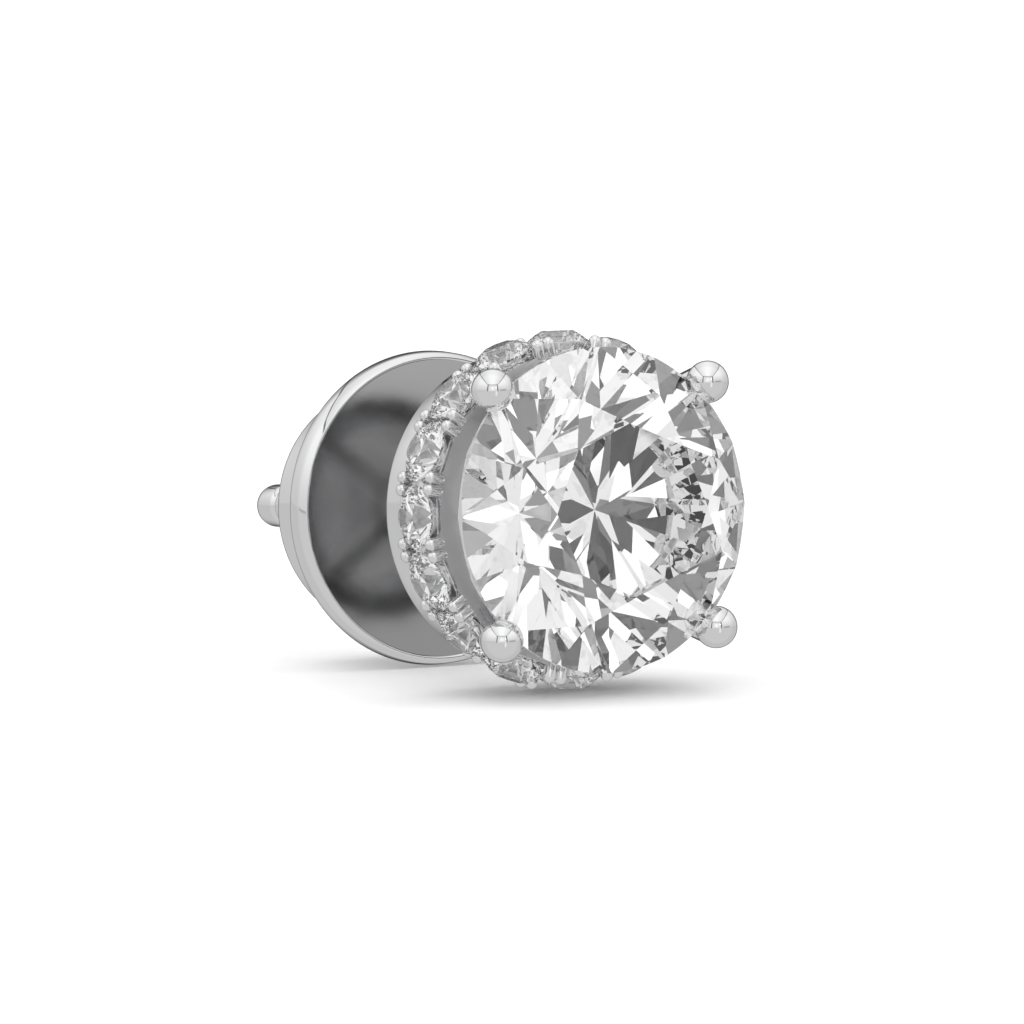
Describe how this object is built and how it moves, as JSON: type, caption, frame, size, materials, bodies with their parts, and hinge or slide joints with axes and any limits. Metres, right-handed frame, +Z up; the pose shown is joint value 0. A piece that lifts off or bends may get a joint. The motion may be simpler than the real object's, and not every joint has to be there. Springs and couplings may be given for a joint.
{
  "type": "solitaire stud earring",
  "caption": "Stud earring: a round brilliant in ball-tipped prongs over a band of small brilliants, an ear post, and a round back that slides along it.",
  "frame": {"origin": "middle of the ground under the earring as it lies on four bead tips of its band and on its back's rim", "axes": "+Y from the large stone's table towards the post's tip, which dips by about 3 degrees; +Z up; +X to the right seen from the stone's side"},
  "size_m": [0.0072, 0.0162, 0.0073],
  "materials": {
    "setting_metal": "polished white precious metal",
    "back_metal": "polished white precious metal",
    "main_crystal": "cut and polished clear stone",
    "halo_crystal": "cut and polished clear stone"
  },
  "bodies": {
    "earring": {"setting": "setting_metal", "main_stone": "main_crystal", "halo_stone_01": "halo_crystal", "halo_stone_02": "halo_crystal", "halo_stone_03": "halo_crystal", "halo_stone_04": "halo_crystal", "halo_stone_05": "halo_crystal", "halo_stone_06": "halo_crystal", "halo_stone_07": "halo_crystal", "halo_stone_08": "halo_crystal", "halo_stone_09": "halo_crystal", "halo_stone_10": "halo_crystal", "halo_stone_11": "halo_crystal", "halo_stone_12": "halo_crystal", "halo_stone_13": "halo_crystal", "halo_stone_14": "halo_crystal", "halo_stone_15": "halo_crystal", "halo_stone_16": "halo_crystal"},
    "back": {"back": "back_metal"}
  },
  "joints": [
    {"name": "back_slide", "type": "slide", "parent": "earring", "child": "back", "axis": [0, 0.9983, -0.0586], "range_m": [-0.0023, 0.0084]}
  ]
}
